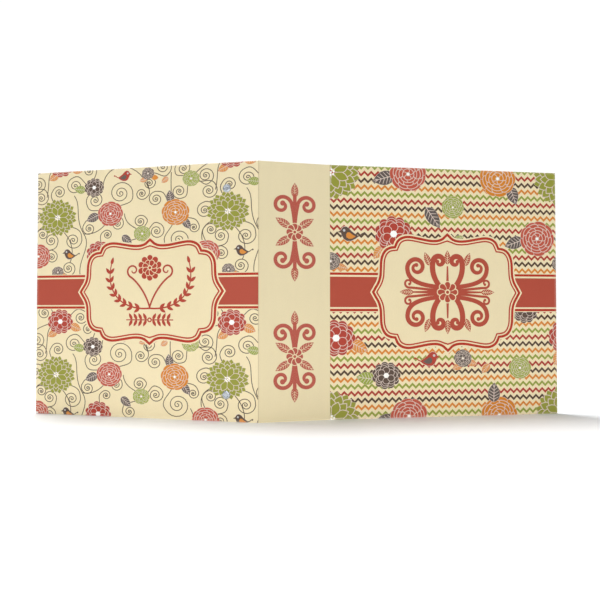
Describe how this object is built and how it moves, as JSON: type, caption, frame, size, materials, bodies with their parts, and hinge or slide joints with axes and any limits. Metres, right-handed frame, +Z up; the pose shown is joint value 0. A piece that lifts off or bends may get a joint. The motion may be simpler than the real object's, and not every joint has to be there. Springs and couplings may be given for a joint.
{
  "type": "scrapbook album",
  "caption": "Large decorated scrapbook album standing open: wrapped-board back cover, spine and front cover with a D-ring page mechanism riveted to the back cover and sleeved pages.",
  "frame": {"origin": "middle of the spine's outer face at its bottom edge", "axes": "+Z up along the album's height, +X from the spine towards the front cover, +Y from the outside of the spine towards the inside of the album"},
  "size_m": [0.6178, 0.2316, 0.2921],
  "materials": {
    "chipboard": "matt grey-brown board",
    "cover_print": "printed paper with a thin satin laminate",
    "spine_print": "printed paper with a thin satin laminate",
    "lining": "plain matt lining paper",
    "ring_steel": "bright nickel plate",
    "blade_steel": "zinc-grey sheet steel",
    "rivet_steel": "bright nickel plate",
    "clear_sleeve": "clear film",
    "page_card": "smooth card"
  },
  "bodies": {
    "spine": {"spine_board": "chipboard", "spine_wrap": "spine_print", "spine_liner": "lining"},
    "front_cover": {"front_board": "chipboard", "front_wrap": "cover_print", "front_liner": "lining"},
    "back_cover": {"back_board": "chipboard", "back_wrap": "cover_print", "back_liner": "lining", "ring_housing": "ring_steel", "lower_rivet": "rivet_steel", "upper_rivet": "rivet_steel", "lower_rivet_spacer": "blade_steel", "upper_rivet_spacer": "blade_steel", "lower_lever_pin": "blade_steel", "upper_lever_pin": "blade_steel"},
    "curved_half": {"inner_blade": "blade_steel", "curved_ring_1": "ring_steel", "curved_ring_2": "ring_steel", "curved_ring_3": "ring_steel"},
    "straight_half": {"outer_blade": "blade_steel", "straight_ring_1": "ring_steel", "straight_ring_2": "ring_steel", "straight_ring_3": "ring_steel"},
    "lower_thumb_lever": {"lower_lever": "ring_steel"},
    "upper_thumb_lever": {"upper_lever": "ring_steel"},
    "page_1": {"page_sleeve_1": "clear_sleeve", "page_sheet_1": "page_card"},
    "page_2": {"page_sleeve_2": "clear_sleeve", "page_sheet_2": "page_card"},
    "page_3": {"page_sleeve_3": "clear_sleeve", "page_sheet_3": "page_card"},
    "page_4": {"page_sleeve_4": "clear_sleeve", "page_sheet_4": "page_card"},
    "page_5": {"page_sleeve_5": "clear_sleeve", "page_sheet_5": "page_card"},
    "page_6": {"page_sleeve_6": "clear_sleeve", "page_sheet_6": "page_card"}
  },
  "joints": [
    {"name": "front_cover_hinge", "type": "hinge", "parent": "spine", "child": "front_cover", "pos_m": [0.04127, 0.00025, 0], "axis": [0, 0, 1], "range_deg": [-20, 94.6]},
    {"name": "back_cover_hinge", "type": "hinge", "parent": "spine", "child": "back_cover", "pos_m": [-0.04127, 0.00025, 0], "axis": [0, 0, -1], "range_deg": [-43.4, 66.6]},
    {"name": "ring_opening", "type": "hinge", "parent": "back_cover", "child": "curved_half", "pos_m": [-0.05871, 0.0146, 0], "axis": [0, 0, -1], "range_deg": [0, 10]},
    {"name": "straight_half_opening", "type": "hinge", "parent": "back_cover", "child": "straight_half", "pos_m": [-0.08679, 0.02676, 0], "axis": [0, 0, 1], "range_deg": [0, 10]},
    {"name": "lower_lever_pivot", "type": "hinge", "parent": "back_cover", "child": "lower_thumb_lever", "pos_m": [-0.07275, 0.02068, 0.013], "axis": [-0.9178, 0.3971, 0], "range_deg": [0, 24]},
    {"name": "upper_lever_pivot", "type": "hinge", "parent": "back_cover", "child": "upper_thumb_lever", "pos_m": [-0.07275, 0.02068, 0.2791], "axis": [0.9178, -0.3971, 0], "range_deg": [0, 24]},
    {"name": "page_turn_1", "type": "hinge", "parent": "back_cover", "child": "page_1", "pos_m": [-0.08262, 0.03312, 0], "axis": [0, 0, 1], "range_deg": [-0.42, 2]},
    {"name": "page_turn_2", "type": "hinge", "parent": "back_cover", "child": "page_2", "pos_m": [-0.08183, 0.03496, 0], "axis": [0, 0, 1], "range_deg": [-1.27, 6]},
    {"name": "page_turn_3", "type": "hinge", "parent": "back_cover", "child": "page_3", "pos_m": [-0.08103, 0.03679, 0], "axis": [0, 0, 1], "range_deg": [-2.22, 10.5]},
    {"name": "page_turn_4", "type": "hinge", "parent": "back_cover", "child": "page_4", "pos_m": [-0.08024, 0.03863, 0], "axis": [0, 0, 1], "range_deg": [-3.17, 15]},
    {"name": "page_turn_5", "type": "hinge", "parent": "back_cover", "child": "page_5", "pos_m": [-0.07944, 0.04047, 0], "axis": [0, 0, 1], "range_deg": [-4.12, 19.5]},
    {"name": "page_turn_6", "type": "hinge", "parent": "back_cover", "child": "page_6", "pos_m": [-0.07865, 0.0423, 0], "axis": [0, 0, 1], "range_deg": [-5.08, 24]}
  ],
  "couplings": [
    {"joint": "straight_half_opening", "follows": "ring_opening", "ratio": 1},
    {"joint": "lower_lever_pivot", "follows": "ring_opening", "ratio": 2.4},
    {"joint": "upper_lever_pivot", "follows": "ring_opening", "ratio": 2.4},
    {"joint": "page_turn_1", "follows": "front_cover_hinge", "ratio": 0.021142},
    {"joint": "page_turn_2", "follows": "front_cover_hinge", "ratio": 0.063425},
    {"joint": "page_turn_3", "follows": "front_cover_hinge", "ratio": 0.11099},
    {"joint": "page_turn_4", "follows": "front_cover_hinge", "ratio": 0.15856},
    {"joint": "page_turn_5", "follows": "front_cover_hinge", "ratio": 0.20613},
    {"joint": "page_turn_6", "follows": "front_cover_hinge", "ratio": 0.2537}
  ]
}
